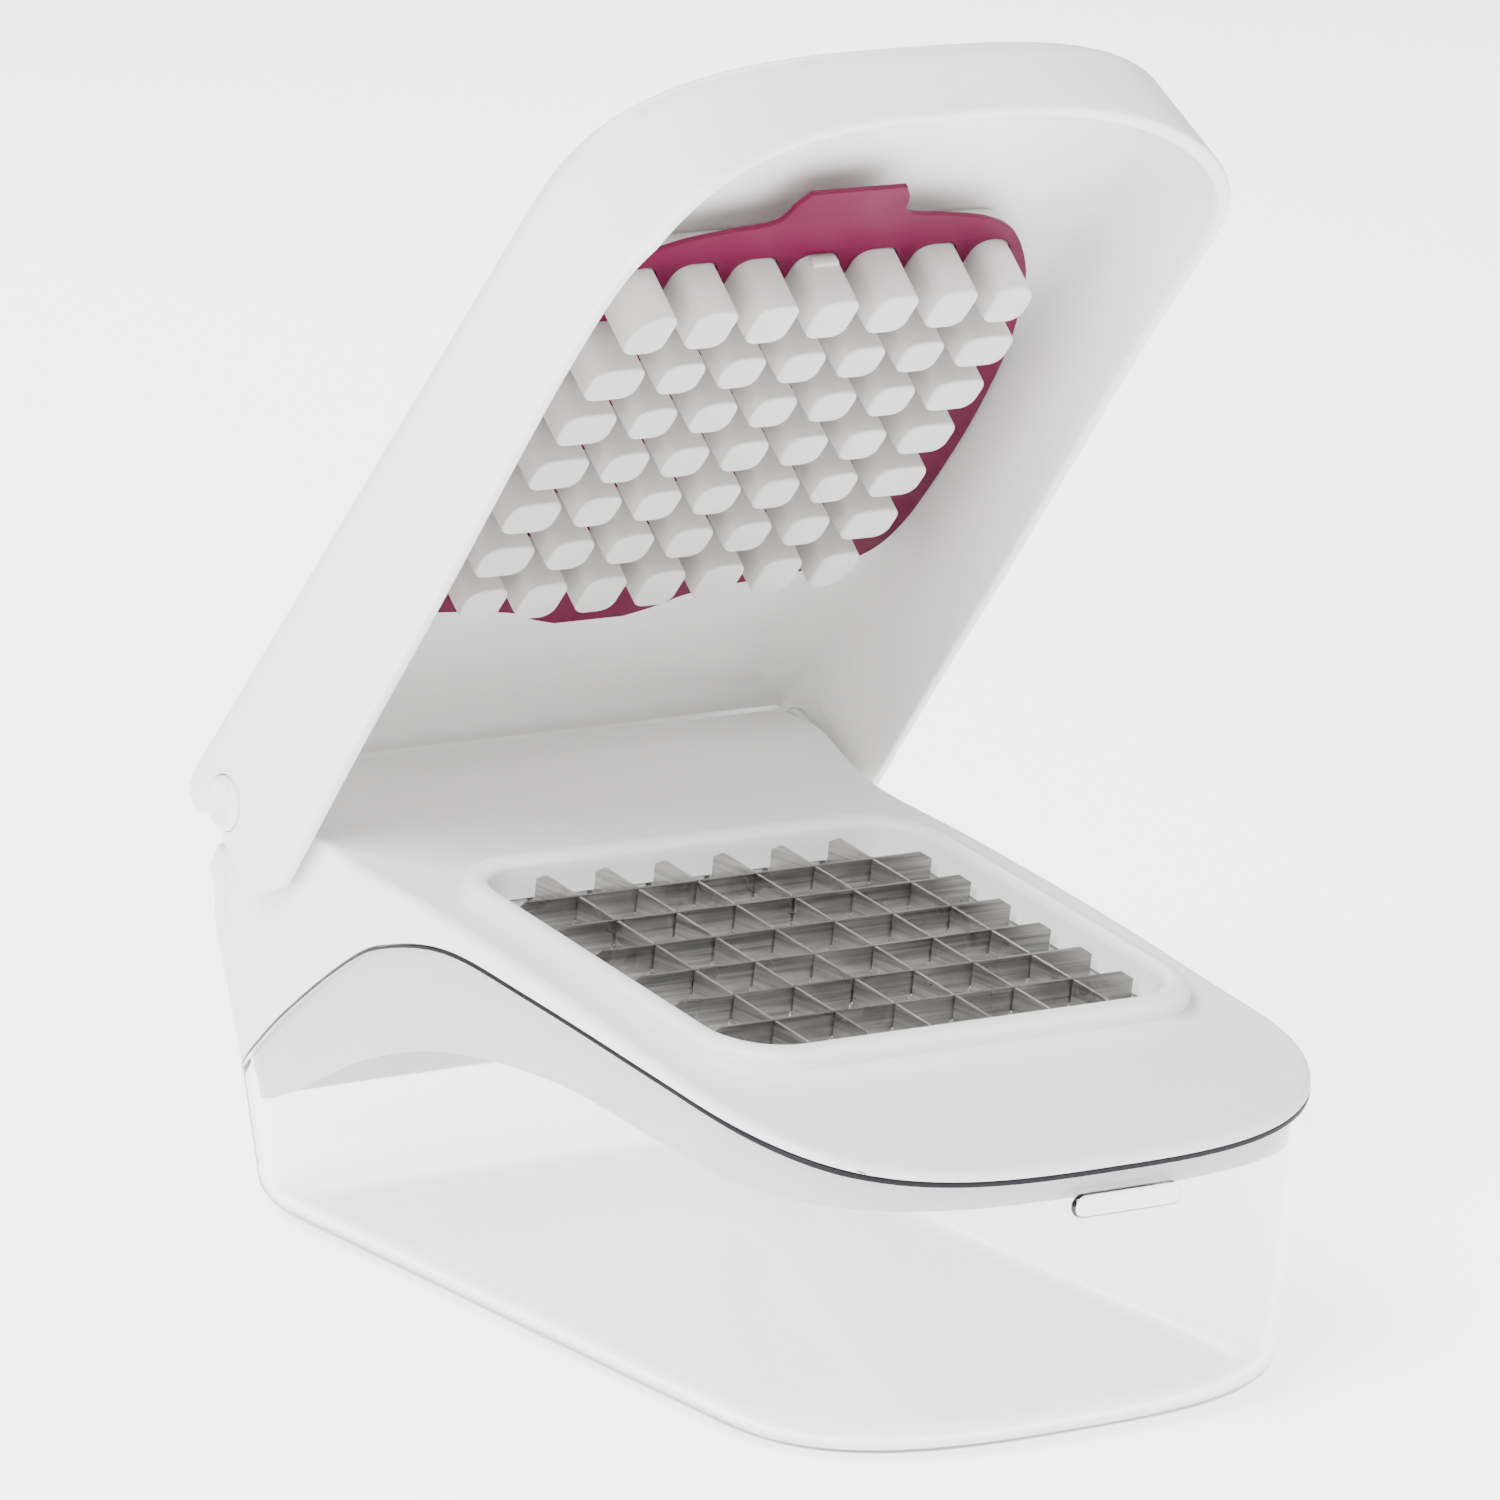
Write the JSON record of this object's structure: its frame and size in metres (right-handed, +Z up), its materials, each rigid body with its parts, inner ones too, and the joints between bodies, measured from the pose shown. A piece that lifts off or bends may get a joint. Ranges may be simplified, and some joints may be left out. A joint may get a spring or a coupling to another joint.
{
  "type": "vegetable dicer",
  "caption": "Push-down vegetable dicer: hinged lid with pusher posts over a crossed blade grid, on a cutting head that lifts off a clear catch container.",
  "frame": {"origin": "centre of the bounding box on the plane the container stands on", "axes": "+Z up, +Y from the low front towards the hinge, +X to the user's right, with the hinge axis along X"},
  "size_m": [0.1236, 0.2012, 0.2189],
  "materials": {
    "clear_plastic": "clear, glossy",
    "white_plastic": "satin white",
    "post_plastic": "satin off-white",
    "magenta_plastic": "satin magenta",
    "grey_plastic": "satin light grey",
    "blade_steel": "brushed",
    "screw_steel": "plain"
  },
  "bodies": {
    "base": {"container": "clear_plastic"},
    "head": {"cutting_head": "white_plastic", "blade_frame": "grey_plastic", "transverse_blade_1": "blade_steel", "transverse_blade_2": "blade_steel", "transverse_blade_3": "blade_steel", "transverse_blade_4": "blade_steel", "transverse_blade_5": "blade_steel", "transverse_blade_6": "blade_steel", "longitudinal_blade_1": "blade_steel", "longitudinal_blade_2": "blade_steel", "longitudinal_blade_3": "blade_steel", "longitudinal_blade_4": "blade_steel", "longitudinal_blade_5": "blade_steel", "longitudinal_blade_6": "blade_steel", "frame_screw_1": "screw_steel", "frame_screw_2": "screw_steel", "frame_screw_3": "screw_steel", "frame_screw_4": "screw_steel", "pivot_pin_left": "grey_plastic", "pivot_pin_right": "grey_plastic"},
    "lid": {"lid_shell": "white_plastic", "pusher_block": "post_plastic", "cleaning_comb": "magenta_plastic"}
  },
  "joints": [
    {"name": "head_lift", "type": "slide", "parent": "base", "child": "head", "axis": [0, 0, 1], "range_m": [0, 0.045]},
    {"name": "lid_hinge", "type": "hinge", "parent": "head", "child": "lid", "pos_m": [0, 0.07887, 0.07462], "axis": [-1, 0, 0], "range_deg": [-55.5, 34.5]}
  ]
}
